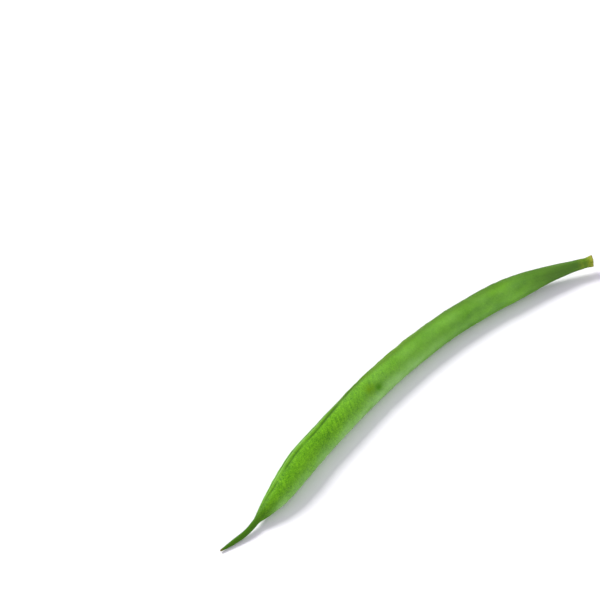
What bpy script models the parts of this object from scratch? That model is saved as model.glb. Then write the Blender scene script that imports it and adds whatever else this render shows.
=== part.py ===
"""Green bean: one fresh French bean as picked, lying on its side on a flat surface.

Metres, +Z up. The pod runs along X with its beak towards -X, bowed towards +Y. The origin is the
middle of its box, on the surface that it lies on. Two nodes: the pod, which grew as one piece
with its beak, and the stub of stalk that it was snapped from.
"""

import math

import bmesh
import bpy
from mathutils import Vector

# Lengths along the pod's own centre line, from the tip of the beak.
POD_LENGTH = 0.1450
BEAK_LENGTH = 0.0116
SHOULDER_LENGTH = 0.0236
NECK_START = 0.1185
NECK_EASE = 0.0300

# Radii. The suture axis is the wide one of the oval section.
BODY_RADIUS = 0.00370
BODY_TAPER = 0.050
FLATNESS = 0.95
BEAK_TIP_RADIUS = 0.00008
BEAK_ROOT_RADIUS = 0.00078
BEAK_SWELL = 0.24
NECK_RADIUS = 0.00132
SHOULDER_POWER = 1.43
BLEND_POWER = 3

# Seeds show as faint swellings.
SEED_COUNT = 7
FIRST_SEED = 0.0330
LAST_SEED = 0.1180
SEED_SWELL = 0.014
SEED_HALF_WIDTH = 0.0042

# Plan shape: the direction of the centre line, in degrees from +X.
BEAK_TIP_HEADING = -5.8
SHOULDER_HEADING = 11.5
HOOK_START = 0.0055
HOOK_END = 0.0112
SWAY = 9.9
SWAY_MIDDLE = 0.0209
SWAY_HALF_LENGTH = 0.0090
BOW_START = 0.0180
BOW_TURN = -37.1
BOW_POWER = 2.19

# Side shape: the centre line droops to the beak, close over the surface, and lifts a little at the neck.
BEAK_TIP_HEIGHT = 0.00068
DROOP_END = 0.0270
NECK_LIFT = 0.0003

# Sutures: a low ridge between two grooves, strong on the back and faint on the belly.
RIDGE_HEIGHT = 0.030
RIDGE_HALF_ANGLE = math.radians(5.0)
GROOVE_DEPTH = 0.022
GROOVE_ANGLE = math.radians(13.0)
GROOVE_HALF_ANGLE = math.radians(5.0)
BELLY_SHARE = 0.5

# Angle of the back suture above the horizontal, at these stations along the pod.
SUTURE_TWIST = ((0.000, 48.0), (0.018, 60.0), (0.042, 62.0), (0.066, 39.0), (0.100, 26.0), (0.145, 18.0))

# The pod settles this far into a flat of its own where it lies.
CONTACT_FLAT = 0.00015
GROUND_DEPTH = 0.010

# Stalk stub: (distance from its foot, radius), up its outer side to the rim of its shallow scar.
STUB_PROFILE = (
    (0.0000, 0.00130),
    (0.0005, 0.00140),
    (0.0013, 0.00138),
    (0.0020, 0.00146),
    (0.0025, 0.00157),
    (0.0028, 0.00154),
    (0.0030, 0.00136),
)
SCAR_DEPTH = 0.0002
STUB_GAP = 0.0003
STUB_SIDES = 24

STATIONS = 80
SECTION_POINTS = 30
END_CROWDING = 0.55
SUTURE_CROWDING = 0.34
HEADING_STEP = 0.0005
MERGE_DISTANCE = 0.000001


def smoothstep(x):
    """0 below 0, 1 above 1, and an even S curve between."""
    x = min(max(x, 0.0), 1.0)
    return x * x * (3 - 2 * x)


def heading(s):
    """Direction of the centre line in radians from +X.

    The beak hooks, the shoulder sways out to the belly's side and back, and then the bow grows.
    """
    hook = smoothstep((s - HOOK_START) / (HOOK_END - HOOK_START))
    away = (s - SWAY_MIDDLE) / SWAY_HALF_LENGTH
    bow = max(0.0, (s - BOW_START) / (POD_LENGTH - BOW_START)) ** BOW_POWER
    turn = (SHOULDER_HEADING - BEAK_TIP_HEADING) * hook + BOW_TURN * bow
    turn += SWAY * away * math.exp(-away * away)
    return math.radians(BEAK_TIP_HEADING + turn)


def full_radius(s):
    """Radius on the suture axis of the pod's body, which tapers slightly towards the neck."""
    return BODY_RADIUS * (1 - BODY_TAPER * s / POD_LENGTH)


def height(s):
    """Height of the centre line over the surface, which the body's underside just dips into."""
    rest = full_radius(s) * (1 + FLATNESS) / 2
    droop = (rest - BEAK_TIP_HEIGHT) * (1 - smoothstep(s / DROOP_END))
    lift = NECK_LIFT * smoothstep((s - NECK_START) / NECK_EASE)
    return rest - CONTACT_FLAT - droop + lift


def radius(s):
    """Radius on the suture axis: a beak that grows into a rounded shoulder, seeds, an eased neck."""
    beak = BEAK_TIP_RADIUS + (BEAK_ROOT_RADIUS - BEAK_TIP_RADIUS) * min(s / BEAK_LENGTH, 1) ** BEAK_SWELL
    along = min(max((s - BEAK_LENGTH) / SHOULDER_LENGTH, 0.0), 1.0)
    body = full_radius(s) * (1 - (1 - along) ** 2) ** (1 / SHOULDER_POWER)
    pitch = (LAST_SEED - FIRST_SEED) / (SEED_COUNT - 1)
    for seed in range(SEED_COUNT):
        away = (s - FIRST_SEED - seed * pitch) / SEED_HALF_WIDTH
        body *= 1 + SEED_SWELL * math.exp(-away * away)
    neck = smoothstep((s - NECK_START) / NECK_EASE)
    body += (NECK_RADIUS - body) * neck
    return (beak**BLEND_POWER + body**BLEND_POWER) ** (1 / BLEND_POWER)


def twist(s):
    """Angle of the back suture above the horizontal on the +Y side, in radians."""
    for (s0, a0), (s1, a1) in zip(SUTURE_TWIST, SUTURE_TWIST[1:]):
        if s <= s1:
            return math.radians(a0 + (a1 - a0) * smoothstep((s - s0) / (s1 - s0)))
    return math.radians(SUTURE_TWIST[-1][1])


def centre_line(stations):
    """Points of the centre line at these stations, the beak's tip over x = y = 0."""
    points, s, x, y = [], 0.0, 0.0, 0.0
    for station in stations:
        while s < station:
            step = min(HEADING_STEP, station - s)
            x += step * math.cos(heading(s + step / 2))
            y += step * math.sin(heading(s + step / 2))
            s += step
        points.append(Vector((x, y, height(station))))
    return points


def suture_relief(angle):
    """Share of the radius that a suture's ridge and its two grooves add, angle from its crest."""
    ridge = RIDGE_HEIGHT * math.exp(-((angle / RIDGE_HALF_ANGLE) ** 2))
    off = (abs(angle) - GROOVE_ANGLE) / GROOVE_HALF_ANGLE
    return ridge - GROOVE_DEPTH * math.exp(-off * off)


def section_point(turn):
    """A point of the unit section, turn from the back suture, which is at -X."""
    crest = math.atan2(math.sin(turn), math.cos(turn))
    belly = math.atan2(math.sin(turn + math.pi), math.cos(turn + math.pi))
    out = 1 + suture_relief(crest) + BELLY_SHARE * suture_relief(belly)
    return Vector((-out * math.cos(turn), out * FLATNESS * math.sin(turn), 0.0))


def material(name, colour, roughness):
    """A plain Principled material."""
    made = bpy.data.materials.new(name)
    made.use_nodes = True
    shader = made.node_tree.nodes["Principled BSDF"]
    shader.inputs["Base Color"].default_value = (*colour, 1)
    shader.inputs["Roughness"].default_value = roughness
    shader.inputs["Metallic"].default_value = 0
    return made


def link(name, data, collection):
    made = bpy.data.objects.new(name, data)
    collection.objects.link(made)
    return made


def section_curve(collection):
    """The closed section that is carried along the pod, its points close together at the sutures."""
    data = bpy.data.curves.new("pod_section", "CURVE")
    data.dimensions = "2D"
    spline = data.splines.new("POLY")
    spline.points.add(SECTION_POINTS - 1)
    for i, point in enumerate(spline.points):
        even = 2 * math.pi * i / SECTION_POINTS
        point.co = (*section_point(even - SUTURE_CROWDING * math.sin(2 * even)), 1)
    spline.use_cyclic_u = True
    made = link("pod_section", data, collection)
    made.hide_render = True
    made.display_type = "WIRE"
    return made


def pod_stations():
    """Stations along the pod, closer together at both ends."""
    made = []
    for i in range(STATIONS):
        even = i / (STATIONS - 1)
        made.append(POD_LENGTH * (even - END_CROWDING * math.sin(2 * math.pi * even) / (2 * math.pi)))
    return made


def build_ground(guides):
    """The block under the surface, which trims the flat that the pod lies on."""
    bpy.ops.mesh.primitive_cube_add(size=1, location=(POD_LENGTH / 2, 0, -GROUND_DEPTH / 2))
    ground = bpy.context.object
    ground.name = "ground"
    ground.scale = (2 * POD_LENGTH, POD_LENGTH, GROUND_DEPTH)
    for collection in ground.users_collection:
        collection.objects.unlink(ground)
    guides.objects.link(ground)
    ground.hide_render = True
    ground.display_type = "WIRE"
    return ground


def build_pod(collection, guides, skin):
    """The pod: its section carried along the centre line, made a mesh and flattened where it lies."""
    stations = pod_stations()
    data = bpy.data.curves.new("pod_line", "CURVE")
    data.dimensions = "3D"
    data.twist_mode = "Z_UP"
    data.bevel_mode = "OBJECT"
    data.bevel_object = section_curve(guides)
    data.use_fill_caps = True
    spline = data.splines.new("POLY")
    spline.points.add(len(stations) - 1)
    for point, s, at in zip(spline.points, stations, centre_line(stations)):
        point.co = (*at, 1)
        point.radius = radius(s)
        point.tilt = twist(s)
    line = link("pod_line", data, guides)
    bpy.context.view_layer.update()
    graph = bpy.context.evaluated_depsgraph_get()
    mesh = bpy.data.meshes.new_from_object(line.evaluated_get(graph), depsgraph=graph)
    bpy.data.objects.remove(line)

    shape = bmesh.new()
    shape.from_mesh(mesh)
    bmesh.ops.remove_doubles(shape, verts=shape.verts, dist=MERGE_DISTANCE)
    bmesh.ops.recalc_face_normals(shape, faces=shape.faces)
    shape.to_mesh(mesh)
    shape.free()
    mesh.shade_smooth()
    mesh.materials.clear()
    mesh.materials.append(skin)
    pod = link("pod", mesh, collection)
    flat = pod.modifiers.new("flat", "BOOLEAN")
    flat.operation = "DIFFERENCE"
    flat.object = build_ground(guides)
    return pod


def build_stub(collection, finish):
    """The stalk stub, turned about its own +Z, which follows the neck."""
    data = bpy.data.meshes.new("stem_stub")
    scar, foot = STUB_PROFILE[-1][0] - SCAR_DEPTH, STUB_PROFILE[0][0]
    outline = [(0.0, scar), *((r, z) for z, r in reversed(STUB_PROFILE)), (0.0, foot)]
    data.from_pydata([(x, 0, z) for x, z in outline], [(i, i + 1) for i in range(len(outline) - 1)], [])
    stub = link("stem_stub", data, collection)
    turned = stub.modifiers.new("turned", "SCREW")
    turned.steps = turned.render_steps = STUB_SIDES
    turned.use_merge_vertices = True
    turned.merge_threshold = MERGE_DISTANCE
    data.materials.append(finish)
    end = centre_line((POD_LENGTH,))[0]
    along = Vector((math.cos(heading(POD_LENGTH)), math.sin(heading(POD_LENGTH)), 0))
    stub.location = end + along * STUB_GAP
    stub.rotation_euler = along.to_track_quat("Z", "Y").to_euler()
    return stub


def stand_on_origin(objects):
    """Moves everything so that the middle of its box is over the origin."""
    bpy.context.view_layer.update()
    graph = bpy.context.evaluated_depsgraph_get()
    corners = [
        obj.matrix_world @ Vector(corner) for obj in objects for corner in obj.evaluated_get(graph).bound_box
    ]
    for axis in (0, 1):
        values = [corner[axis] for corner in corners]
        for obj in objects:
            obj.location[axis] -= (min(values) + max(values)) / 2


def main():
    for obj in list(bpy.data.objects):
        bpy.data.objects.remove(obj)
    bean = bpy.data.collections.new("green_bean")
    guides = bpy.data.collections.new("guides")
    for collection in (bean, guides):
        bpy.context.scene.collection.children.link(collection)
    skin = material("pod_skin", (0.14, 0.35, 0.03), 0.42)
    stalk = material("stalk", (0.33, 0.36, 0.06), 0.6)
    stand_on_origin((build_pod(bean, guides, skin), build_stub(bean, stalk)))


main()
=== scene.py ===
"""Looks for a fresh green bean that lies on its side on a pale floor.

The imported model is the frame. Its two solids, pod and stem_stub, are each replaced by a detailed
surface in the same place, worked out with numpy in metres:

- BeanPod: the skin of the pod, carried along the bean's own centre line, which is PodLine, with
  the places of its colours from PodPaint.
- StalkStub: the stub of the stalk, with its flared rim and its scar.
- Studio: the pale floor, the soft lights and the camera.

Materials are built by Recipe, which holds a node tree, out of Signal values, which can be added,
multiplied and mixed as numbers can.
"""

from __future__ import annotations

import logging
import math
from dataclasses import dataclass
from enum import Enum

import bpy
import numpy as np
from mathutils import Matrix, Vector

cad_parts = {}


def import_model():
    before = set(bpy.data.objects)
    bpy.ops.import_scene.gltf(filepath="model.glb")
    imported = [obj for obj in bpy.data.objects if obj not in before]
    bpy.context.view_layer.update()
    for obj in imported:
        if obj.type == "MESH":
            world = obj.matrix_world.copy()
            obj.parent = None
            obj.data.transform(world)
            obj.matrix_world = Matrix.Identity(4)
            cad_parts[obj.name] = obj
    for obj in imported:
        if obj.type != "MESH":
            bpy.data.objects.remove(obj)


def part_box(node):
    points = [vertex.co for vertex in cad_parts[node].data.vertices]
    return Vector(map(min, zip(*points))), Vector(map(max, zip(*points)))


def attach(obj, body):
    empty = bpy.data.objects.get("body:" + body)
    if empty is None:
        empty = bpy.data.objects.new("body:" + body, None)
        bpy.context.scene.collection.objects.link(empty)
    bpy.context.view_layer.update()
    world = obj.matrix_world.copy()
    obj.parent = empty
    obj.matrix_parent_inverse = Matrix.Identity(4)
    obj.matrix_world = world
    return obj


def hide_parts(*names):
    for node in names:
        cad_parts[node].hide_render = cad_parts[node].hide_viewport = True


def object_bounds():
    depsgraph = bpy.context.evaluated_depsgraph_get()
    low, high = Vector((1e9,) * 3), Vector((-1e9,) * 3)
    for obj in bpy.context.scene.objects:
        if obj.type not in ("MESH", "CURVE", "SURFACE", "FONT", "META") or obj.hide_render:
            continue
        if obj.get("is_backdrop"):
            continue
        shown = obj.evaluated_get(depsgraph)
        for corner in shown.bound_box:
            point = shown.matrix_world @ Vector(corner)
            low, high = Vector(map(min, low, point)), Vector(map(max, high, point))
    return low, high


LOG = logging.getLogger("green_bean")
MM = 0.001
STUB_GAP = 0.3 * MM
RATE_SPREAD = (0.45, 1.3)

Colour = tuple[float, float, float]
Span = tuple[float, float]
Wave = tuple[float, int, float]

# The Mix node's sockets for colours.
MIX_FACTOR, MIX_FIRST, MIX_SECOND, MIX_RESULT = 0, 6, 7, 2


def tone(red: float, green: float, blue: float) -> Colour:
    """Turns a display colour, 0 to 255, into scene-linear light, 0 to 1."""
    shares = (red / 255, green / 255, blue / 255)
    return tuple(v / 12.92 if v <= 0.04045 else ((v + 0.055) / 1.055) ** 2.4 for v in shares)


def smoothstep(x: np.ndarray) -> np.ndarray:
    """0 below 0, 1 above 1, and an even S curve between: 3x^2 - 2x^3."""
    x = np.clip(x, 0, 1)
    return x * x * (3 - 2 * x)


def bell(x: np.ndarray, power: float = 2.0) -> np.ndarray:
    """A bell that is 1 at 0: exp(-|x|^power)."""
    return np.exp(-(np.abs(x) ** power))


def wrapped(angle: np.ndarray) -> np.ndarray:
    """The same angle between -pi and pi."""
    return np.arctan2(np.sin(angle), np.cos(angle))


def waves(turn: np.ndarray, terms: tuple[Wave, ...]) -> np.ndarray:
    """Adds up waves round a ring, size cos(count t + phase), count being a whole number."""
    return sum(size * np.cos(count * turn + phase) for size, count, phase in terms)


@dataclass(frozen=True)
class Ramp:
    """An S curve along a piece, least at its start and 1 at its end, which may come first."""

    start: float
    end: float
    least: float = 0.0

    def at(self, s: np.ndarray) -> np.ndarray:
        """The curve at distances s in metres, where its start and end are in millimetres."""
        grown = smoothstep((s / MM - self.start) / (self.end - self.start))
        return self.least + (1 - self.least) * grown


@dataclass(frozen=True)
class Stretch:
    """A part of a piece: 0 at first, 1 from full to falling, and 0 again at last."""

    first: float
    full: float
    falling: float
    last: float

    def at(self, s: np.ndarray) -> np.ndarray:
        """The share at distances s in metres, where the stretch's own are in millimetres."""
        return Ramp(self.first, self.full).at(s) * Ramp(self.last, self.falling).at(s)


@dataclass(frozen=True)
class Band:
    """A bell across a piece, flatter on top for a greater power."""

    half_width: float
    power: float = 2.0
    middle: float = 0.0
    height: float = 1.0

    def at(self, x: np.ndarray) -> np.ndarray:
        """The bell's height at x, which is in the unit of its middle and its half width."""
        return self.height * bell((x - self.middle) / self.half_width, self.power)


# ---- shader values and node trees


class Attr(Enum):
    """Attributes that the surfaces carry for their materials."""

    STRAIGHT = "straight"
    SLANT = "slant"
    ALONG = "along"
    CREST = "crest"
    STRING = "string"
    GROOVE = "groove"
    # Painted shade in hollows and under the pod.
    PAINTED_SHADE = "hollow"
    # A smudge, and a tinge along the suture that is partly painted shade.
    SMUDGE_AND_SHADE = "smudge"
    BRUISE = "bruise"
    SCAR = "scar"
    # Painted reflection of the floor and painted sheen, partly the belly's own paler green.
    PALE_SHEEN = "pale"
    # Painted shade over the back suture, partly its own darker olive.
    OLIVE_AND_SHADE = "dusk"


class Signal:
    """One value or colour that runs through a material's nodes."""

    def __init__(self, recipe: Recipe, socket: bpy.types.NodeSocket) -> None:
        """Wraps an output socket of a recipe's node."""
        self.recipe = recipe
        self.socket = socket

    def math(self, operation: str, *values: Signal | float) -> Signal:
        """Adds a Math node with this operation and these inputs in order."""
        return self.recipe.node("ShaderNodeMath", {"operation": operation}, dict(enumerate(values)))

    def __add__(self, other: Signal | float) -> Signal:
        """self + other."""
        return self.math("ADD", self, other)

    __radd__ = __add__

    def __sub__(self, other: Signal | float) -> Signal:
        """self - other."""
        return self.math("SUBTRACT", self, other)

    def __rsub__(self, other: Signal | float) -> Signal:
        """other - self."""
        return self.math("SUBTRACT", other, self)

    def __mul__(self, other: Signal | float) -> Signal:
        """self * other."""
        return self.math("MULTIPLY", self, other)

    __rmul__ = __mul__

    def above(self, low: float, high: float) -> Signal:
        """A mask from 0 at low to 1 at high, either of which may be larger, along an S curve."""
        settings = {"interpolation_type": "SMOOTHSTEP"}
        return self.recipe.node("ShaderNodeMapRange", settings, {0: self, 1: low, 2: high})


class Recipe:
    """The node tree of one material."""

    def __init__(self, name: str) -> None:
        """Starts a material with a Principled shader.

        Args:
            name: the material's name.
        """
        self.material = bpy.data.materials.new(name)
        self.material.use_nodes = True
        self.tree = self.material.node_tree
        self.shader = self.tree.nodes["Principled BSDF"]

    def node(
        self,
        kind: str,
        settings: dict[str, object],
        inputs: dict[str | int, object],
        output: str | int = 0,
    ) -> Signal:
        """Adds a node.

        Args:
            kind: the node's type name.
            settings: its properties, set before its sockets.
            inputs: values or signals, by socket name or number.
            output: the name or number of the output to return.

        Returns:
            One of the node's outputs.
        """
        made = self.tree.nodes.new(kind)
        for key, value in settings.items():
            setattr(made, key, value)
        for key, value in inputs.items():
            self.feed(made.inputs[key], value)
        return Signal(self, made.outputs[output])

    def feed(self, socket: bpy.types.NodeSocket, value: object) -> None:
        """Links a signal to a socket, or sets the socket's own value.

        Args:
            socket: the input socket.
            value: a signal, a number, a colour or a vector.
        """
        if isinstance(value, Signal):
            self.tree.links.new(value.socket, socket)
        elif socket.type == "RGBA":
            socket.default_value = (*value, 1.0)
        else:
            socket.default_value = value

    def attribute(self, attribute: Attr, output: str = "Fac") -> Signal:
        """Reads one of the mesh's own attributes."""
        return self.node("ShaderNodeAttribute", {"attribute_name": attribute.value}, {}, output)

    def stretched(self, vector: Signal, scale: tuple[float, float, float]) -> Signal:
        """The vector with each of its parts multiplied by its own number."""
        return self.node("ShaderNodeVectorMath", {"operation": "MULTIPLY"}, {0: vector, 1: scale})

    def noise(self, vector: Signal, scale: float, detail: float, roughness: float = 0.5) -> Signal:
        """Cloudy noise round 0.5, scale clouds to a unit, with detail finer layers of roughness."""
        values = {"Vector": vector, "Scale": scale, "Detail": detail, "Roughness": roughness}
        return self.node("ShaderNodeTexNoise", {}, values)

    def dots(self, vector: Signal, scale: float) -> Signal:
        """Distance to the nearest of many scattered points, 0 at a point."""
        return self.node("ShaderNodeTexVoronoi", {}, {"Vector": vector, "Scale": scale})

    def mix(
        self, first: Signal | Colour, second: Signal | Colour, factor: Signal | float
    ) -> Signal:
        """Mixes two colours, of which factor is the share of the second."""
        values = {MIX_FACTOR: factor, MIX_FIRST: first, MIX_SECOND: second}
        return self.node("ShaderNodeMix", {"data_type": "RGBA"}, values, MIX_RESULT)

    def bump(self, height: Signal, distance: float, strength: float) -> Signal:
        """A normal that follows a height, where 1 stands out by distance in metres."""
        values = {"Height": height, "Distance": distance, "Strength": strength}
        return self.node("ShaderNodeBump", {}, values)

    def finish(self, **values: object) -> bpy.types.Material:
        """Sets the shader's sockets and gives the material.

        Args:
            **values: values or signals by socket name, with _ for each space.

        Returns:
            The finished material.
        """
        for key, value in values.items():
            self.feed(self.shader.inputs[key.replace("_", " ")], value)
        return self.material


# ---- surfaces


@dataclass(frozen=True)
class Ripples:
    """Seeded, smooth unevenness on a surface that is closed round its second direction.

    It is a sum of cosines cos(k s + m t + p), each with its own wavelength along s, whole number m
    of waves round t, and phase p, scaled to its usual size.
    """

    seed: int
    wavelength: float
    most_round: int
    size: float
    terms: int = 36

    def over(self, along: np.ndarray, around: np.ndarray | float = 0.0) -> np.ndarray:
        """Works out the unevenness.

        Args:
            along: distances along the surface in metres.
            around: angles round it.

        Returns:
            Values round 0, in the inputs' common shape.
        """
        random = np.random.default_rng(self.seed)
        rates = 2 * np.pi / self.wavelength * random.uniform(*RATE_SPREAD, self.terms)
        turns = random.integers(-self.most_round, self.most_round + 1, self.terms)
        phases = random.uniform(0, 2 * np.pi, self.terms)
        total = np.zeros(np.broadcast_shapes(along.shape, np.shape(around)))
        for rate, turn, phase in zip(rates, turns, phases):
            total += np.cos(rate * along + turn * around + phase)
        return self.size * total / math.sqrt(self.terms / 2)


def placed(name: str, data: bpy.types.ID) -> bpy.types.Object:
    """Makes an object of a mesh, a light or a camera and puts it in the scene.

    Args:
        name: the object's name.
        data: what it shows.

    Returns:
        The object, at the origin.
    """
    made = bpy.data.objects.new(name, data)
    bpy.context.scene.collection.objects.link(made)
    return made


def toward(azimuth: float, elevation: float = 0.0) -> Vector:
    """Gives a direction.

    Args:
        azimuth: degrees round from +X.
        elevation: degrees up.

    Returns:
        A unit vector.
    """
    turn, rise = math.radians(azimuth), math.radians(elevation)
    level = math.cos(rise)
    return Vector((math.cos(turn) * level, math.sin(turn) * level, math.sin(rise)))


def closed_tube(
    name: str, rings: np.ndarray, first_pole: np.ndarray, last_pole: np.ndarray
) -> bpy.types.Object:
    """Makes a closed mesh of a grid of rings, with a pole at each end.

    Args:
        name: the object's name.
        rings: points shaped (rings, points round, 3), from the left over the top, seen from the
            first ring to the last, so that the faces point outwards.
        first_pole: the point that closes the first ring.
        last_pole: the point that closes the last ring.

    Returns:
        A smooth mesh object at the origin.
    """
    rows, count = rings.shape[:2]
    points = np.vstack([rings.reshape(-1, 3), first_pole, last_pole])
    here = np.arange(rows * count).reshape(rows, count)
    beside = np.roll(here, -1, axis=1)
    quads = np.stack([here[:-1], beside[:-1], beside[1:], here[1:]], axis=-1).reshape(-1, 4)
    first = np.stack([beside[0], here[0], np.full(count, rows * count)], axis=-1)
    last = np.stack([here[-1], beside[-1], np.full(count, rows * count + 1)], axis=-1)
    mesh = bpy.data.meshes.new(name)
    mesh.from_pydata(points, [], [*quads.tolist(), *first.tolist(), *last.tolist()])
    mesh.validate()
    mesh.shade_smooth()
    return placed(name, mesh)


def paint(
    piece: bpy.types.Object,
    attribute: Attr,
    values: np.ndarray,
    poles: tuple[object, object] = (0, 0),
) -> None:
    """Keeps a value for every point of a closed tube as an attribute that its material reads.

    Args:
        piece: an object from closed_tube.
        attribute: which attribute it is.
        values: one number, or one vector of three, for each point of its grid.
        poles: the values of its first and last pole.
    """
    flat = np.concatenate([values.reshape(-1, *values.shape[2:]), poles])
    kind, key = ("FLOAT_VECTOR", "vector") if values.ndim == 3 else ("FLOAT", "value")
    made = piece.data.attributes.new(attribute.value, kind, "POINT")
    made.data.foreach_set(key, flat.astype(np.float32).ravel())


# ---- finishes


@dataclass(frozen=True)
class PodSkin:
    """Satin green skin: cloudy patches, a fine stipple, slanting veins and its two sutures, with
    painted shade, a painted highlight, painted glints and a painted reflection and sheen.

    A scale is a number of clouds to a millimetre. A span is the two distances from the beak's tip,
    in millimetres, where a mask is 0 and where it is 1.
    """

    deep: Colour = tone(55, 113, 8)
    light: Colour = tone(122, 188, 27)
    crest: Colour = tone(98, 152, 30)
    string: Colour = tone(130, 176, 80)
    # The seam's darker green in the grooves, partly painted shade.
    groove: Colour = tone(48, 92, 0)
    # Painted reflection of the pale floor and painted sheen, partly the belly's own paler green.
    pale: Colour = tone(145, 192, 111)
    # Painted shade over the back suture, partly the suture side's own darker olive.
    dusk: Colour = tone(61, 96, 0)
    # The neck's duller green, darkened with painted shade.
    shaded_neck: Colour = tone(72, 108, 38)
    # Painted highlight: a paler patch on the back of the neck.
    neck_highlight: Colour = tone(108, 142, 56)
    neck_end: Colour = tone(116, 138, 30)
    beak: Colour = tone(57, 101, 8)
    beak_tip: Colour = tone(116, 98, 46)
    smudge: Colour = tone(94, 138, 2)
    bruise: Colour = tone(70, 131, 0)
    # Pale specks, the bases of the skin's hairs, partly painted glints.
    speck_glint: Colour = tone(150, 190, 76)
    patch_scale: float = 0.35
    sheen_cloud_scale: float = 0.28
    mottle_scale: float = 1.1
    grain_scale: float = 2.6
    stipple_scale: float = 5
    speck_scale: float = 1.7
    grain_share: float = 1.05
    stipple_share: float = 1.3
    lively_span: Span = (84, 60)
    veined_from: Span = (36, 50)
    veined_until: Span = (96, 80)
    cloudy_span: Span = (84, 112)
    neck_span: Span = (119, 137)
    # Where the painted highlight on the back of the neck begins and is full.
    neck_highlight_span: Span = (131, 140)
    neck_end_span: Span = (142.8, 146.2)
    beak_span: Span = (20.5, 10.5)
    beak_tip_span: Span = (1.2, 0.1)
    relief_height: float = 0.1 * MM

    def material(self) -> bpy.types.Material:
        """Builds the skin's material.

        Returns:
            The material, which reads the attributes that BeanPod paints.
        """
        recipe = Recipe("pod_skin")
        straight = recipe.attribute(Attr.STRAIGHT, "Vector")
        slant = recipe.attribute(Attr.SLANT, "Vector")
        along = recipe.attribute(Attr.ALONG)
        crest = recipe.attribute(Attr.CREST)
        dusk = recipe.attribute(Attr.OLIVE_AND_SHADE)

        patches = recipe.noise(recipe.stretched(straight, (0.4, 1, 1)), self.patch_scale, 2)
        mottle = recipe.noise(recipe.stretched(straight, (0.8, 1, 1)), self.mottle_scale, 2, 0.6)
        grain = recipe.noise(straight, self.grain_scale, 2, 0.7)
        veins = recipe.noise(slant, 1.0, 2, 0.6)
        stipple = recipe.noise(recipe.stretched(straight, (0.7, 1, 1)), self.stipple_scale, 1)
        sheen_clouds = recipe.noise(recipe.stretched(straight, (0.6, 1, 1)), self.sheen_cloud_scale, 1)
        specks = recipe.dots(straight, self.speck_scale)

        lively = along.above(*self.lively_span) * 0.64 + 0.36
        veined = along.above(*self.veined_from) * along.above(*self.veined_until) * 0.35 + 0.8
        streaks = (grain - 0.5) * self.grain_share + (stipple - 0.5) * self.stipple_share
        streaks = streaks + (veins - 0.5) * veined
        clouds = (patches - 0.5) * (along.above(*self.cloudy_span) * 0.75 + 0.33)
        clouds = clouds + (mottle - 0.5) * (lively * 0.38 + 0.1)
        # Less the painted shade in hollows and the painted shadow under the pod.
        shade = clouds + streaks * lively - recipe.attribute(Attr.PAINTED_SHADE) * 0.1
        # Painted reflection and sheen, partly the belly's own paler green.
        pale_sheen_share = recipe.attribute(Attr.PALE_SHEEN) * (grain * 0.4 + sheen_clouds * 1.3 - 0.03)
        uneven = along + (mottle - 0.5) * 3.0
        tip = (along + (mottle - 0.5) * 0.8).above(*self.beak_tip_span)

        colour = recipe.mix(self.deep, self.light, shade + 0.52)
        layers = (
            # Painted reflection of the floor and painted sheen.
            (self.pale, pale_sheen_share),
            # Pale specks, partly painted glints.
            (self.speck_glint, specks.above(0.24, 0.08) * grain.above(0.4, 0.6) * 0.3),
            (self.crest, crest * 0.6),
            # Painted shade over the back suture, partly its own darker olive.
            (self.dusk, dusk * (mottle * 0.5 + 0.6)),
            # Darker seam green in the grooves, partly painted shade.
            (self.groove, recipe.attribute(Attr.GROOVE) * (veins * 0.7 + 0.5)),
            (self.string, recipe.attribute(Attr.STRING) * 0.8),
            # The smudge, and a tinge along the suture that is partly painted shade.
            (self.smudge, recipe.attribute(Attr.SMUDGE_AND_SHADE) * mottle.above(0.15, 0.55)),
            (self.bruise, recipe.attribute(Attr.BRUISE)),
            # The neck, darkened with painted shade.
            (self.shaded_neck, uneven.above(*self.neck_span) * 0.85),
            # Painted highlight on the back of the neck.
            (self.neck_highlight, dusk * uneven.above(*self.neck_highlight_span) * 0.8),
            (self.neck_end, uneven.above(*self.neck_end_span) * 0.8),
            (self.beak, uneven.above(*self.beak_span) * 0.9),
            (self.beak_tip, tip * 0.8),
        )
        for layer, share in layers:
            colour = recipe.mix(colour, layer, share)

        relief = mottle * 0.4 + grain * 0.7 + veins * 0.4 + specks.above(0.3, 0.05) * 0.2
        return recipe.finish(
            Base_Color=colour,
            Roughness=0.44 + mottle * 0.14 + grain * 0.08 - crest * 0.04,
            Normal=recipe.bump(relief, self.relief_height, 0.8),
            Specular_IOR_Level=0.1,
            Subsurface_Weight=0.1,
            Subsurface_Radius=(0.9, 1.4, 0.4),
            Subsurface_Scale=0.5 * MM,
        )


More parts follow.
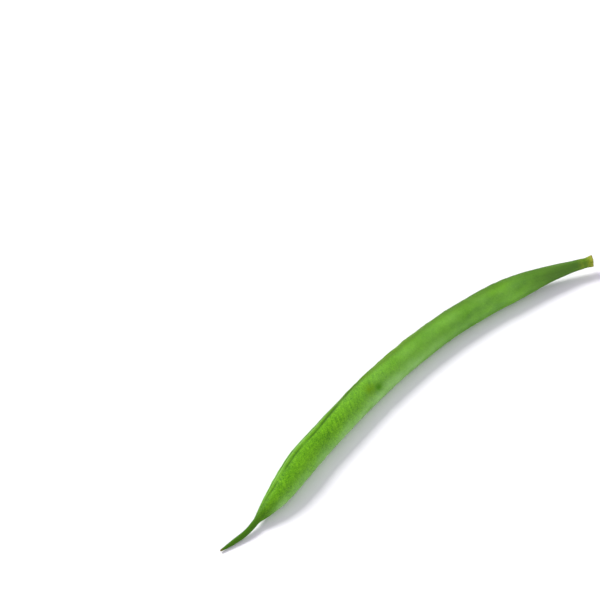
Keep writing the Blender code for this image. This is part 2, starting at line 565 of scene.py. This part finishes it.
@dataclass(frozen=True)
class StalkTissue:
    """Yellow-green stalk: lengthways fibres, a paler flared rim, a dry, browned scar and painted
    shade between its ribs.

    A scale is a number of clouds to a millimetre.
    """

    green: Colour = tone(88, 124, 20)
    yellow: Colour = tone(138, 152, 34)
    rim: Colour = tone(168, 164, 70)
    edge: Colour = tone(112, 88, 40)
    scar: Colour = tone(150, 128, 92)
    pith: Colour = tone(182, 180, 112)
    dry: Colour = tone(98, 78, 44)
    fibre_scale: float = 1.3
    mottle_scale: float = 3.2
    relief_height: float = 0.12 * MM

    def material(self) -> bpy.types.Material:
        """Builds the stalk's material.

        Returns:
            The material, which reads the attributes that StalkStub paints.
        """
        recipe = Recipe("stalk")
        straight = recipe.attribute(Attr.STRAIGHT, "Vector")
        along = recipe.attribute(Attr.ALONG)
        scar = recipe.attribute(Attr.SCAR)
        fibres = recipe.noise(recipe.stretched(straight, (0.5, 4.0, 4.0)), self.fibre_scale, 2)
        mottle = recipe.noise(straight, self.mottle_scale, 3, 0.6)
        relief = fibres * 0.6 + mottle * 0.5

        face = recipe.mix(self.scar, self.pith, mottle.above(0.42, 0.62))
        face = recipe.mix(face, self.dry, fibres.above(0.5, 0.68) * 0.8)
        dried = (along + fibres * 0.7 - 0.35).above(2.62, 3.05) * mottle.above(0.38, 0.6)
        yellowed = (along * 0.42 + relief - 0.6).above(0.15, 1.0)
        colour = recipe.mix(self.green, self.yellow, yellowed)
        layers = (
            (self.rim, (along + relief - 0.55).above(1.9, 2.9) * 0.7),
            (self.edge, dried * 0.8),
            # Painted shade: darker green in the hollows between the ribs.
            (self.green, recipe.attribute(Attr.PAINTED_SHADE) * 0.6),
            (face, scar),
        )
        for layer, share in layers:
            colour = recipe.mix(colour, layer, share)
        return recipe.finish(
            Base_Color=colour,
            Roughness=0.52 + mottle * 0.14 + scar * 0.18,
            Normal=recipe.bump(relief, self.relief_height, 0.9),
            Specular_IOR_Level=0.2,
            Subsurface_Weight=0.1,
            Subsurface_Radius=(1.0, 1.0, 0.4),
            Subsurface_Scale=0.4 * MM,
        )


@dataclass(frozen=True)
class StudioFloor:
    """Smooth white board that the bean lies on."""

    white: Colour = (0.9, 0.9, 0.9)
    roughness: float = 0.65

    def material(self) -> bpy.types.Material:
        """Builds the floor's material."""
        return Recipe("studio_floor").finish(Base_Color=self.white, Roughness=self.roughness)


# ---- the bean


@dataclass(frozen=True)
class PodLine:
    """The pod's centre line and radius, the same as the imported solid's, in metres and degrees.

    s is always the distance from the beak's tip along the line.
    """

    length: float = 145 * MM
    beak_length: float = 11.6 * MM
    shoulder_length: float = 23.6 * MM
    neck_start: float = 118.5 * MM
    neck_ease: float = 30 * MM
    body_radius: float = 3.7 * MM
    body_taper: float = 0.05
    flatness: float = 0.95
    beak_tip_radius: float = 0.08 * MM
    beak_root_radius: float = 0.78 * MM
    beak_swell: float = 0.24
    neck_radius: float = 1.32 * MM
    shoulder_power: float = 1.43
    blend_power: float = 3
    beak_tip_heading: float = -5.8
    shoulder_heading: float = 11.5
    hook_start: float = 5.5 * MM
    hook_end: float = 11.2 * MM
    sway: float = 9.9
    sway_middle: float = 20.9 * MM
    sway_half_length: float = 9 * MM
    bow_start: float = 18 * MM
    bow_turn: float = -37.1
    bow_power: float = 2.19
    beak_tip_height: float = 0.68 * MM
    droop_end: float = 27 * MM
    neck_lift: float = 0.3 * MM
    contact_flat: float = 0.15 * MM
    heading_steps: int = 6000
    axes_step: float = 0.05 * MM
    twist_stations: tuple[float, ...] = (0, 18 * MM, 42 * MM, 66 * MM, 100 * MM, 145 * MM)
    twist_angles: tuple[float, ...] = (48, 60, 62, 39, 26, 18)

    def heading(self, s: np.ndarray) -> np.ndarray:
        """Direction from +X in radians: the beak's hook, the shoulder's sway, then a growing bow.

        The hook is an S curve, the sway is u exp(-u^2) and the bow is a power of s.

        Args:
            s: distances along.

        Returns:
            Angles of the same shape.
        """
        hook = smoothstep((s - self.hook_start) / (self.hook_end - self.hook_start))
        bow = np.maximum(0.0, (s - self.bow_start) / (self.length - self.bow_start))
        away = (s - self.sway_middle) / self.sway_half_length
        turn = (self.shoulder_heading - self.beak_tip_heading) * hook
        turn += self.bow_turn * bow**self.bow_power
        turn += self.sway * away * bell(away)
        return np.radians(self.beak_tip_heading + turn)

    def full_radius(self, s: np.ndarray) -> np.ndarray:
        """Radius of the body on its suture axis, which tapers evenly along the line."""
        return self.body_radius * (1 - self.body_taper * s / self.length)

    def height(self, s: np.ndarray) -> np.ndarray:
        """Height over the floor: the body's own radius, less a droop at the beak, plus a neck lift.

        Args:
            s: distances along.

        Returns:
            Heights of the same shape.
        """
        rest = self.full_radius(s) * (1 + self.flatness) / 2
        droop = (rest - self.beak_tip_height) * (1 - smoothstep(s / self.droop_end))
        lift = self.neck_lift * smoothstep((s - self.neck_start) / self.neck_ease)
        return rest - self.contact_flat - droop + lift

    def radius(self, s: np.ndarray) -> np.ndarray:
        """Radius on the suture axis: beak and shoulder blended by a power mean, then the neck.

        Args:
            s: distances along.

        Returns:
            Radii of the same shape.
        """
        grown = np.clip(s / self.beak_length, 0, 1) ** self.beak_swell
        beak = self.beak_tip_radius + (self.beak_root_radius - self.beak_tip_radius) * grown
        along = np.clip((s - self.beak_length) / self.shoulder_length, 0, 1)
        body = self.full_radius(s) * (1 - (1 - along) ** 2) ** (1 / self.shoulder_power)
        body += (self.neck_radius - body) * smoothstep((s - self.neck_start) / self.neck_ease)
        return (beak**self.blend_power + body**self.blend_power) ** (1 / self.blend_power)

    def twist(self, s: np.ndarray) -> np.ndarray:
        """Angle of the back suture above the horizontal, an S curve between its stations.

        Args:
            s: distances along.

        Returns:
            Angles in radians.
        """
        angle = np.full_like(s, self.twist_angles[0])
        turns = np.diff(self.twist_angles)
        for start, end, turn in zip(self.twist_stations, self.twist_stations[1:], turns):
            angle += turn * smoothstep((s - start) / (end - start))
        return np.radians(angle)

    def points(self, s: np.ndarray) -> np.ndarray:
        """Points of the line, by adding up small steps along the heading.

        Args:
            s: distances along.

        Returns:
            Points shaped (len(s), 3), the tip over x = y = 0.
        """
        fine = np.linspace(0, max(float(s.max()), self.length), self.heading_steps)
        step = fine[1] - fine[0]
        middle = self.heading(fine[:-1] + step / 2)
        x = np.concatenate([[0], np.cumsum(np.cos(middle) * step)])
        y = np.concatenate([[0], np.cumsum(np.sin(middle) * step)])
        return np.stack([np.interp(s, fine, x), np.interp(s, fine, y), self.height(s)], axis=-1)

    def axes(self, s: np.ndarray) -> tuple[np.ndarray, np.ndarray, np.ndarray]:
        """Directions along the line, level to its left, and up across it.

        Args:
            s: distances along.

        Returns:
            Three arrays of unit vectors shaped (len(s), 3).
        """
        step = self.axes_step
        along = self.points(s + step) - self.points(np.maximum(s - step, 0))
        along /= np.linalg.norm(along, axis=-1, keepdims=True)
        left = np.cross((0, 0, 1), along)
        left /= np.linalg.norm(left, axis=-1, keepdims=True)
        return along, left, np.cross(along, left)


@dataclass(frozen=True)
class Blemish:
    """A mark on the skin: where it is, how large, and how far it sinks in."""

    along: float
    angle: float
    half_length: float
    half_width: float
    depth: float

    def mask(self, s: np.ndarray, theta: np.ndarray, radius: np.ndarray) -> np.ndarray:
        """How much of the mark each point has, an elliptical bell.

        Args:
            s: distances along the pod.
            theta: angles from the back suture.
            radius: the pod's radius at each point.

        Returns:
            Values from 0 to 1.
        """
        off_along = (s - self.along) / self.half_length
        off_round = wrapped(theta - math.radians(self.angle)) * radius / self.half_width
        return bell(np.hypot(off_along, off_round), 2.4)


@dataclass(frozen=True)
class PodSheet:
    """The pod's grid, and what both its shape and its paint read at each of its points.

    s is the distance from the beak's tip and theta the angle from the back suture. back and belly
    are degrees from the sutures' own, slightly wavy lines. raised is the share of the radius that
    seeds and unevenness add. clear, lively and fade say how well sutures show: less at the neck, by
    chance along the pod, and less at the beak.
    """

    s: np.ndarray
    theta: np.ndarray
    radius: np.ndarray
    back: np.ndarray
    belly: np.ndarray
    raised: np.ndarray
    clear: np.ndarray
    lively: np.ndarray
    fade: np.ndarray


@dataclass(frozen=True)
class PodPaint:
    """Where the skin's colours lie, painted shade, highlight and sheen among them, one method for
    each attribute.
    """

    back_crest: Band = Band(8, 3)
    belly_crest: Band = Band(8, 3, height=0.7)
    back_string: Band = Band(3, middle=-5.157)
    belly_string: Band = Band(2, height=0.6)
    # Darker seam green in the grooves, partly painted shade.
    back_groove: Band = Band(5, middle=14.7, height=1.35)
    belly_groove: Band = Band(3.6, middle=13.5, height=0.25)
    groove_starts: Ramp = Ramp(13, 24)
    groove_grows: Ramp = Ramp(34, 46, 5 / 9)
    # Painted shade where the skin sinks in, and a painted shadow on the underside.
    hollow_level: float = 0.012
    hollow_range: float = 0.03
    shade: Band = Band(80, 4, height=1.5)
    shade_stretch: Stretch = Stretch(84, 102, 114, 128)
    # Painted reflection of the floor round the belly, and a painted sheen all round.
    pale_band: Band = Band(80, 4, height=0.75)
    palest_band: Band = Band(46, 3, height=0.22)
    pale_stretch: Stretch = Stretch(12, 20, 114, 134)
    pale_fades: Ramp = Ramp(104, 68, 0.28)
    sheen_haze_share: float = 0.22
    sheen_haze_stretch: Stretch = Stretch(42, 80, 124, 140)
    # The band of painted shade over the back suture, partly its own darker olive.
    olive_and_shade_share: float = 0.95
    olive_and_shade_half_angle: float = 14
    olive_and_shade_growth: float = 26
    olive_and_shade_widens: Ramp = Ramp(52, 86)
    olive_and_shade_widens_more: Ramp = Ramp(88, 116)
    olive_and_shade_shift: float = 14
    olive_and_shade_leans: Ramp = Ramp(50, 80)
    olive_and_shade_stretch: Stretch = Stretch(42, 58, 130, 146)
    vein_lean: float = 0.8
    veins_per_mm: float = 1.9
    vein_reach: float = 0.4
    other_side: float = 31

    def slant(self, sheet: PodSheet) -> np.ndarray:
        """Coordinates for the veins, which lean away from both sutures and differ side to side.

        Args:
            sheet: the pod's grid.

        Returns:
            Vectors: a slanting distance along, one from the nearest suture, and the side's own.
        """
        off = np.abs(wrapped(2 * sheet.theta)) / 2 * sheet.radius / MM
        side = np.where(np.sin(sheet.theta) >= 0, 0.0, self.other_side)
        along = (sheet.s / MM + self.vein_lean * off) * self.veins_per_mm
        return np.stack(np.broadcast_arrays(along, off * self.vein_reach, side), axis=-1)

    def crest(self, sheet: PodSheet) -> np.ndarray:
        """Broad bells over both sutures."""
        back = self.back_crest.at(sheet.back) * sheet.clear
        return (back + self.belly_crest.at(sheet.belly)) * sheet.fade

    def string(self, sheet: PodSheet) -> np.ndarray:
        """Narrow bells, the back one a little to the side of its crest."""
        back = self.back_string.at(sheet.back) * sheet.clear
        return (back + self.belly_string.at(sheet.belly)) * sheet.fade

    def groove(self, sheet: PodSheet) -> np.ndarray:
        """A bell on each side of each suture, darker seam green that is partly painted shade. The
        back ones start past the beak and grow.

        Args:
            sheet: the pod's grid.

        Returns:
            Values from 0 to 1.
        """
        strength = self.groove_starts.at(sheet.s) * self.groove_grows.at(sheet.s) * sheet.lively
        back = self.back_groove.at(np.abs(sheet.back)) * strength * sheet.clear
        return np.clip((back + self.belly_groove.at(np.abs(sheet.belly))) * sheet.fade, 0, 1)

    def hollow(self, sheet: PodSheet) -> np.ndarray:
        """Painted shade: how far the skin sinks in, and past 1 a painted shadow on the underside
        between the middle and the neck.
        """
        sunk = np.clip((self.hollow_level - sheet.raised) / self.hollow_range, 0, 1)
        return sunk + self.shade.at(sheet.belly) * self.shade_stretch.at(sheet.s)

    def pale(self, sheet: PodSheet) -> np.ndarray:
        """Two bells round the belly suture, a painted reflection of the floor with some of its own
        paler green, that fade toward the neck, or a painted sheen, a slight haze all round.

        Args:
            sheet: the pod's grid.

        Returns:
            Values from 0 to 1.
        """
        under = self.pale_band.at(sheet.belly) + self.palest_band.at(sheet.belly)
        under = under * self.pale_stretch.at(sheet.s) * self.pale_fades.at(sheet.s)
        return np.maximum(under, self.sheen_haze_share * self.sheen_haze_stretch.at(sheet.s))

    def dusk(self, sheet: PodSheet) -> np.ndarray:
        """Painted shade, with some of the suture side's own darker olive: a band over the back
        suture that widens, and leans to one side, toward the neck.

        Args:
            sheet: the pod's grid.

        Returns:
            Values from 0 to 1.
        """
        widening = self.olive_and_shade_widens.at(sheet.s) + self.olive_and_shade_widens_more.at(sheet.s)
        off = sheet.back - self.olive_and_shade_shift * self.olive_and_shade_leans.at(sheet.s)
        band = bell(off / (self.olive_and_shade_half_angle + self.olive_and_shade_growth * widening), 3)
        return self.olive_and_shade_share * band * self.olive_and_shade_stretch.at(sheet.s)


@dataclass
class BeanPod:
    """The pod's skin, a surface of the distance along the pod and the angle from its back suture.

    Its section is an oval, (cos t, flatness sin t) times the line's radius, and every detail adds a
    share of that radius: two sutures, seed swellings on the flanks, unevenness, wrinkles at the
    neck and the beak, and blemishes. What would be under the floor is pressed flat against it.
    """

    line: PodLine = PodLine()
    colours: PodPaint = PodPaint()
    stations: int = 860
    sides: int = 104
    end_crowding: float = 0.45
    suture_crowding: float = 0.36
    suture_starts: Ramp = Ramp(0, 16, 0.25)
    suture_fades: Ramp = Ramp(118, 78, 0.3)
    crest: Band = Band(8.5, 3, height=0.024)
    groove: Band = Band(4.6, middle=13.5, height=0.026)
    midline: Band = Band(1.6, height=0.007)
    belly_share: float = 0.6
    wobble: Ripples = Ripples(31, 14 * MM, 0, 0.01, 24)
    liveliness: Ripples = Ripples(33, 7 * MM, 0, 0.3, 24)
    seed_order: int = 11
    seed_count: int = 7
    first_seed: float = 33 * MM
    last_seed: float = 118 * MM
    seed_swell: float = 0.022
    seed_half_length: float = 4.6 * MM
    seed_shift: float = 1.3 * MM
    seed_sizes: Span = (0.55, 1.25)
    seed_lean: float = 0.25
    seed_least: float = 0.35
    slow_waves: Ripples = Ripples(3, 17 * MM, 2, 0.0075)
    lumps: Ripples = Ripples(5, 4.2 * MM, 5, 0.0042)
    fine_lumps: Ripples = Ripples(8, 1.5 * MM, 14, 0.0016, 60)
    folds: Ripples = Ripples(13, 16 * MM, 9, 0.017, 24)
    neck_folds: Ramp = Ramp(124, 142)
    beak_folds: Stretch = Stretch(3, 9, 12, 21)
    beak_folds_share: float = 0.8
    smooth_end: Ramp = Ramp(144.6, 142.4, 0.2)
    bruise: Blemish = Blemish(65.9 * MM, 101, 1.3 * MM, 0.9 * MM, 0.02)
    smudge: Blemish = Blemish(63.2 * MM, 81, 2 * MM, 1.5 * MM, 0.004)
    # A brownish line along the suture, widened as painted shade on the upper edge.
    tinge_and_shade: Blemish = Blemish(80 * MM, 14, 20 * MM, 1.2 * MM, 0)
    smudge_share: float = 0.8
    tip_rounding: float = 1.2
    thin_tip: Ramp = Ramp(0, 5, 0.66)
    overlap: float = 0.25 * MM
    contact_ease: float = 0.06 * MM

    def sheet(self) -> PodSheet:
        """Works out the grid, closer at both ends and at both sutures, and what all its users read.

        Returns:
            Arrays shaped (stations, sides), or with a 1 where they don't change.
        """
        even = np.linspace(0, 1, self.stations + 1)[1:]
        eased = even - self.end_crowding * np.sin(2 * np.pi * even) / (2 * np.pi)
        turn = np.linspace(0, 2 * np.pi, self.sides, endpoint=False)
        theta = (turn - self.suture_crowding * np.sin(2 * turn))[None, :]
        s = ((self.line.length + self.overlap) * eased)[:, None]
        wobble = self.wobble.over(s)
        return PodSheet(
            s=s,
            theta=theta,
            radius=self.line.radius(s[:, 0])[:, None],
            back=np.degrees(wrapped(theta + wobble)),
            belly=np.degrees(wrapped(theta + np.pi - wobble)),
            raised=self.swellings(s, theta) + self.unevenness(s, theta),
            clear=self.suture_fades.at(s),
            lively=1 + self.liveliness.over(s),
            fade=self.suture_starts.at(s),
        )

    def suture(self, degrees: np.ndarray) -> np.ndarray:
        """Share of the radius that a suture's crest adds, less a midline and a groove each side."""
        off = np.abs(degrees)
        return self.crest.at(off) - self.midline.at(off) - self.groove.at(off)

    def swellings(self, s: np.ndarray, theta: np.ndarray) -> np.ndarray:
        """Share of the radius that the seeds add, bells on the flanks of uneven pitch and size.

        Args:
            s: distances along the pod.
            theta: angles from the back suture.

        Returns:
            Values of the inputs' common shape.
        """
        random = np.random.default_rng(self.seed_order)
        total = np.zeros(np.broadcast_shapes(s.shape, theta.shape))
        for place in np.linspace(self.first_seed, self.last_seed, self.seed_count):
            middle = place + random.uniform(-self.seed_shift, self.seed_shift)
            size = self.seed_swell * random.uniform(*self.seed_sizes)
            lean = random.uniform(-self.seed_lean, self.seed_lean)
            flank = self.seed_least + (1 - self.seed_least) * np.sin(theta + lean) ** 2
            total += size * bell((s - middle) / self.seed_half_length) * flank
        return total

    def unevenness(self, s: np.ndarray, theta: np.ndarray) -> np.ndarray:
        """Share of the radius that slow waves, small lumps and end wrinkles add.

        Args:
            s: distances along the pod.
            theta: angles from the back suture.

        Returns:
            Values of the inputs' common shape, less at the end, which the stub's collar hides.
        """
        lumps = (self.slow_waves, self.lumps, self.fine_lumps)
        total = sum(ripples.over(s, theta) for ripples in lumps)
        folded = self.neck_folds.at(s) + self.beak_folds_share * self.beak_folds.at(s)
        total += folded * self.folds.over(s, theta)
        return total * self.smooth_end.at(s)

    def section(self, sheet: PodSheet, out: np.ndarray) -> tuple[np.ndarray, np.ndarray]:
        """Each ring's oval, rounded off and thinned toward the beak's tip.

        Args:
            sheet: the pod's grid.
            out: how many times the line's radius each point is out.

        Returns:
            Distances toward the back suture and across it.
        """
        tip = np.sqrt(np.clip(sheet.s / (self.tip_rounding * self.line.beak_tip_radius), 0, 1))
        size = sheet.radius * out * tip * self.thin_tip.at(sheet.s)
        return size * np.cos(sheet.theta), size * np.sin(sheet.theta) * self.line.flatness

    def rings(self, sheet: PodSheet, across: np.ndarray, over: np.ndarray) -> np.ndarray:
        """Places the ovals on the line, each turned by the line's twist, and presses them flat.

        What would be under the floor comes up to it, (z + sqrt(z^2 + e^2)) / 2 over the ease e.

        Args:
            sheet: the pod's grid.
            across: distances toward the back suture.
            over: distances across it.

        Returns:
            Points shaped (stations, sides, 3).
        """
        s = sheet.s[:, 0]
        twist = self.line.twist(s)[:, None]
        leftward = across * np.cos(twist) - over * np.sin(twist)
        upward = across * np.sin(twist) + over * np.cos(twist)
        _, left, up = self.line.axes(s)
        rings = self.line.points(s)[:, None] + leftward[..., None] * left[:, None]
        rings += upward[..., None] * up[:, None]
        z = rings[..., 2]
        rings[..., 2] = (z + np.sqrt(z * z + self.contact_ease**2)) / 2
        return rings

    def over_the_solid(self, rings: np.ndarray) -> np.ndarray:
        """The move that brings the middle of the rings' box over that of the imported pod.

        Args:
            rings: the skin's points.

        Returns:
            A level move.
        """
        low, high = (np.array(corner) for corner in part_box("pod"))
        move = (low + high - rings.min(axis=(0, 1)) - rings.max(axis=(0, 1))) / 2
        return move * (1, 1, 0)

    def build(self) -> bpy.types.Object:
        """Builds the skin and its attributes.

        Returns:
            The piece, dressed, its box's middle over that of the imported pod.
        """
        sheet = self.sheet()
        marks = (self.bruise, self.smudge, self.tinge_and_shade)
        bruise, smudge, tinge_and_shade = (mark.mask(sheet.s, sheet.theta, sheet.radius) for mark in marks)
        sutures = self.suture(sheet.back) * sheet.clear * sheet.lively
        sutures = (sutures + self.belly_share * self.suture(sheet.belly)) * sheet.fade
        sunk = self.bruise.depth * bruise + self.smudge.depth * smudge
        across, over = self.section(sheet, 1 + sutures + sheet.raised - sunk)
        rings = self.rings(sheet, across, over)
        shift = self.over_the_solid(rings)
        ends = self.line.points(np.array([0.0, self.line.length + self.overlap])) + shift
        piece = closed_tube("bean_pod", rings + shift, *ends)

        last = self.line.length / MM
        along = np.broadcast_to(sheet.s / MM, across.shape)
        straight = np.stack([along, across / MM, over / MM], axis=-1)
        poles = ((0, 0, 0), (last, 0, 0))
        paint(piece, Attr.STRAIGHT, straight, poles)
        paint(piece, Attr.SLANT, self.colours.slant(sheet), poles)
        paint(piece, Attr.ALONG, along, (0, last))
        paint(piece, Attr.CREST, self.colours.crest(sheet))
        paint(piece, Attr.STRING, self.colours.string(sheet))
        # Darker seam green in the grooves, partly painted shade.
        paint(piece, Attr.GROOVE, self.colours.groove(sheet))
        # Painted shade in hollows and a painted shadow on the underside.
        paint(piece, Attr.PAINTED_SHADE, self.colours.hollow(sheet))
        # The smudge, and a tinge along the suture that is partly painted shade.
        paint(piece, Attr.SMUDGE_AND_SHADE, np.clip((smudge + tinge_and_shade) * self.smudge_share, 0, 1))
        paint(piece, Attr.BRUISE, bruise)
        # Painted shade over the back suture, partly its own darker olive.
        paint(piece, Attr.OLIVE_AND_SHADE, self.colours.dusk(sheet))
        # Painted reflection of the floor and painted sheen, partly the belly's own paler green.
        paint(piece, Attr.PALE_SHEEN, self.colours.pale(sheet))
        piece.data.materials.append(PodSkin().material())
        return piece


@dataclass
class StalkStub:
    """The stub of the stalk, a turned surface that follows the neck, with a lobed, flared rim.

    Each ring is a circle of the profile's radius times 1 plus a few cosine lobes, and the profile
    runs up the collar and the shank, over the rim and into the dished scar. Its corners are
    distances along the stub and radii in millimetres.
    """

    start: np.ndarray
    along: np.ndarray
    sides: int = 112
    rows_per_leg: int = 9
    collar: tuple[Span, ...] = ((-0.55, 1.16), (-0.42, 1.345), (-0.28, 1.415), (-0.08, 1.43))
    shank: tuple[Span, ...] = ((0.3, 1.4), (0.9, 1.37), (1.5, 1.37), (2.00, 1.44))
    rim: tuple[Span, ...] = ((2.45, 1.56), (2.72, 1.6), (2.9, 1.54), (2.98, 1.42), (2.9, 1.22))
    scar: tuple[Span, ...] = ((2.78, 1.02), (2.82, 0.8), (2.8, 0.5), (2.76, 0.2))
    flare: Ramp = Ramp(1.6, 2.6)
    rim_lobes: tuple[Wave, ...] = ((0.03, 5, 0.4), (0.022, 2, 1.9), (0.016, 9, 0.0))
    rim_rise: tuple[Wave, ...] = ((0.1 * MM, 3, 1.0),)
    tooth: Band = Band(0.3, height=0.22 * MM)
    tooth_angle: float = 1.3
    ribs: tuple[Wave, ...] = ((0.01, 11, 0.8), (0.007, 17, 2.1))
    flared_ribs_lost: float = 0.6
    hollow_range: float = 0.02
    roughness: Ripples = Ripples(21, 1.1 * MM, 9, 0.01)
    skirt: Ramp = Ramp(0.4, -0.3)
    skirt_rise: tuple[Wave, ...] = ((0.1 * MM, 4, 0.7),)
    skirt_spread: tuple[Wave, ...] = ((0.02 * MM, 6, 0.3),)
    tongue: Band = Band(0.5, height=0.2 * MM)
    tongue_angle: float = 0.9
    scar_from: float = 0.68
    scar_edge: float = 0.03
    scar_relief: Ripples = Ripples(22, MM / 3, 7, 0.035 * MM)

    def profile(self) -> tuple[np.ndarray, np.ndarray]:
        """Points on a smooth Catmull-Rom curve through the corners.

        Returns:
            Distances along the stub and radii, in metres, each shaped (rows, 1).
        """
        corners = np.array(self.collar + self.shank + self.rim + self.scar) * MM
        padded = np.concatenate([corners[:1], corners, corners[-1:]])
        t = np.linspace(0, 1, self.rows_per_leg, endpoint=False)[:, None]
        legs = []
        for a, b, c, d in zip(padded, padded[1:], padded[2:], padded[3:]):
            bend = (2 * a - 5 * b + 4 * c - d) * t**2 + (3 * b - a - 3 * c + d) * t**3
            legs.append(0.5 * (2 * b + (c - a) * t + bend))
        curve = np.concatenate([*legs, corners[-1:]])
        return curve[:, :1], curve[:, 1:]

    def build(self) -> bpy.types.Object:
        """Builds the stub and its attributes.

        Returns:
            The piece, dressed.
        """
        along, radius = self.profile()
        turn = np.linspace(0, 2 * np.pi, self.sides, endpoint=False)[None, :]
        flare, skirt = self.flare.at(along), self.skirt.at(along)
        row = np.arange(len(along))[:, None] / len(along)
        inside = np.clip((row - self.scar_from) / self.scar_edge, 0, 1)
        ribs = waves(turn, self.ribs)
        rough = self.roughness.over(along, turn)
        tooth = flare * self.tooth.at(wrapped(turn - self.tooth_angle))
        tongue = self.tongue.at(wrapped(turn - self.tongue_angle))

        left_ribs = ribs * (1 - self.flared_ribs_lost * flare)
        wide = radius * (1 + flare * waves(turn, self.rim_lobes) + left_ribs + rough)
        wide += tooth * (1 - inside) + skirt * waves(turn, self.skirt_spread)
        raised = along + flare * waves(turn, self.rim_rise) + tooth
        raised -= skirt * (tongue + waves(turn, self.skirt_rise))
        raised += inside * self.scar_relief.over(radius, turn)
        section = np.stack([raised, wide * np.cos(turn), wide * np.sin(turn)], axis=-1)
        left = np.cross((0, 0, 1), self.along)
        rings = self.start + section @ np.stack([self.along, left, np.cross(self.along, left)])
        first = self.start + along[0, 0] * self.along
        piece = closed_tube("bean_stalk_stub", rings, first, rings[-1].mean(axis=0))

        low, high = self.collar[0][0], self.scar[-1][0]
        paint(piece, Attr.STRAIGHT, section / MM, ((low, 0, 0), (high, 0, 0)))
        paint(piece, Attr.ALONG, raised / MM, (low, high))
        paint(piece, Attr.SCAR, np.broadcast_to(inside, wide.shape), (0, 1))
        # Painted shade in the hollows between the ribs.
        paint(piece, Attr.PAINTED_SHADE, np.clip(-(ribs + rough) / self.hollow_range, 0, 1))
        piece.data.materials.append(StalkTissue().material())
        return piece


# ---- the studio


@dataclass(frozen=True)
class SoftLight:
    """A large square light: where it stands seen from the bean, how wide and how strong it is."""

    name: str
    azimuth: float
    elevation: float
    distance: float
    width: float
    power: float

    def build(self, target: Vector) -> None:
        """Hangs the light and turns it to a point.

        Args:
            target: the point that it faces.
        """
        data = bpy.data.lights.new(self.name, "AREA")
        data.shape = "SQUARE"
        data.size = self.width
        data.energy = self.power
        lamp = placed(self.name, data)
        away = toward(self.azimuth, self.elevation)
        lamp.location = target + away * self.distance
        lamp.rotation_euler = (-away).to_track_quat("-Z", "Y").to_euler()


@dataclass(frozen=True)
class Studio:
    """Pale floor, soft light from above and behind, and a camera that looks down along the bean."""

    floor_size: float = 12
    world_strength: float = 0.555
    world_colour: Colour = (1.0, 0.95, 1.11)
    camera_azimuth: float = -48.2
    camera_elevation: float = 38
    camera_distance: float = 0.6
    lens: float = 135
    clip_start: float = 0.01
    look_right: float = -25.3 * MM
    look_beyond: float = 36.8 * MM
    lights: tuple[SoftLight, ...] = (
        SoftLight("key", 100, 47, 1.3, 0.46, 16),
        SoftLight("fill", -72, 30, 1.5, 1.2, 6.5),
    )

    def build_floor(self) -> None:
        """Lays the floor as one square whose top is the surface that the bean lies on."""
        half = self.floor_size / 2
        corners = [(-half, -half, 0), (half, -half, 0), (half, half, 0), (-half, half, 0)]
        mesh = bpy.data.meshes.new("studio_floor")
        mesh.from_pydata(corners, [], [(0, 1, 2, 3)])
        mesh.materials.append(StudioFloor().material())
        floor = placed("studio_floor", mesh)
        floor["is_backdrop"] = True

    def build_world(self) -> None:
        """Lights the scene evenly from all round and shows colours as they are."""
        world = bpy.data.worlds.new("studio")
        bpy.context.scene.world = world
        world.use_nodes = True
        background = world.node_tree.nodes["Background"]
        background.inputs["Color"].default_value = (*self.world_colour, 1.0)
        background.inputs["Strength"].default_value = self.world_strength
        bpy.context.scene.view_settings.view_transform = "Standard"

    def build_camera(self, middle: Vector) -> None:
        """Turns the camera to a floor point to the right of the middle and beyond it.

        Args:
            middle: the middle of the bean's box.
        """
        right, ahead = toward(self.camera_azimuth), toward(self.camera_azimuth + 90)
        target = Vector((middle.x, middle.y, 0))
        target += right * self.look_right + ahead * self.look_beyond
        looking = toward(self.camera_azimuth + 90, -self.camera_elevation)
        data = bpy.data.cameras.new("camera")
        data.lens = self.lens
        data.clip_start = self.clip_start
        camera = placed("camera", data)
        camera.location = target - looking * self.camera_distance
        camera.rotation_euler = looking.to_track_quat("-Z", "Y").to_euler()
        bpy.context.scene.camera = camera

    def build(self, middle: Vector) -> None:
        """Builds the floor, the lights, the world and the camera.

        Args:
            middle: the middle of the bean's box.
        """
        self.build_floor()
        self.build_world()
        for light in self.lights:
            light.build(middle)
        self.build_camera(middle)


def main() -> None:
    """Builds the pod, the stub and the studio in turn, and measures the scene's bounds before and
    after.
    """
    logging.basicConfig(level=logging.INFO, format="%(name)s: %(message)s")
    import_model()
    low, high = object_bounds()

    pod = BeanPod()
    skin = pod.build()
    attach(skin, "root")
    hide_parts("pod")
    LOG.info("%s: %d faces", skin.name, len(skin.data.polygons))

    ends = pod.line.points(np.array([0.0, pod.line.length]))
    along = pod.line.axes(np.array([pod.line.length]))[0][0]
    tip = np.array(skin.data.vertices[-2].co)
    stub = StalkStub(ends[1] - ends[0] + tip + along * STUB_GAP, along).build()
    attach(stub, "root")
    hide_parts("stem_stub")
    LOG.info("%s: %d faces", stub.name, len(stub.data.polygons))

    Studio().build((low + high) / 2)
    low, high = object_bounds()


if __name__ == "__main__":
    main()
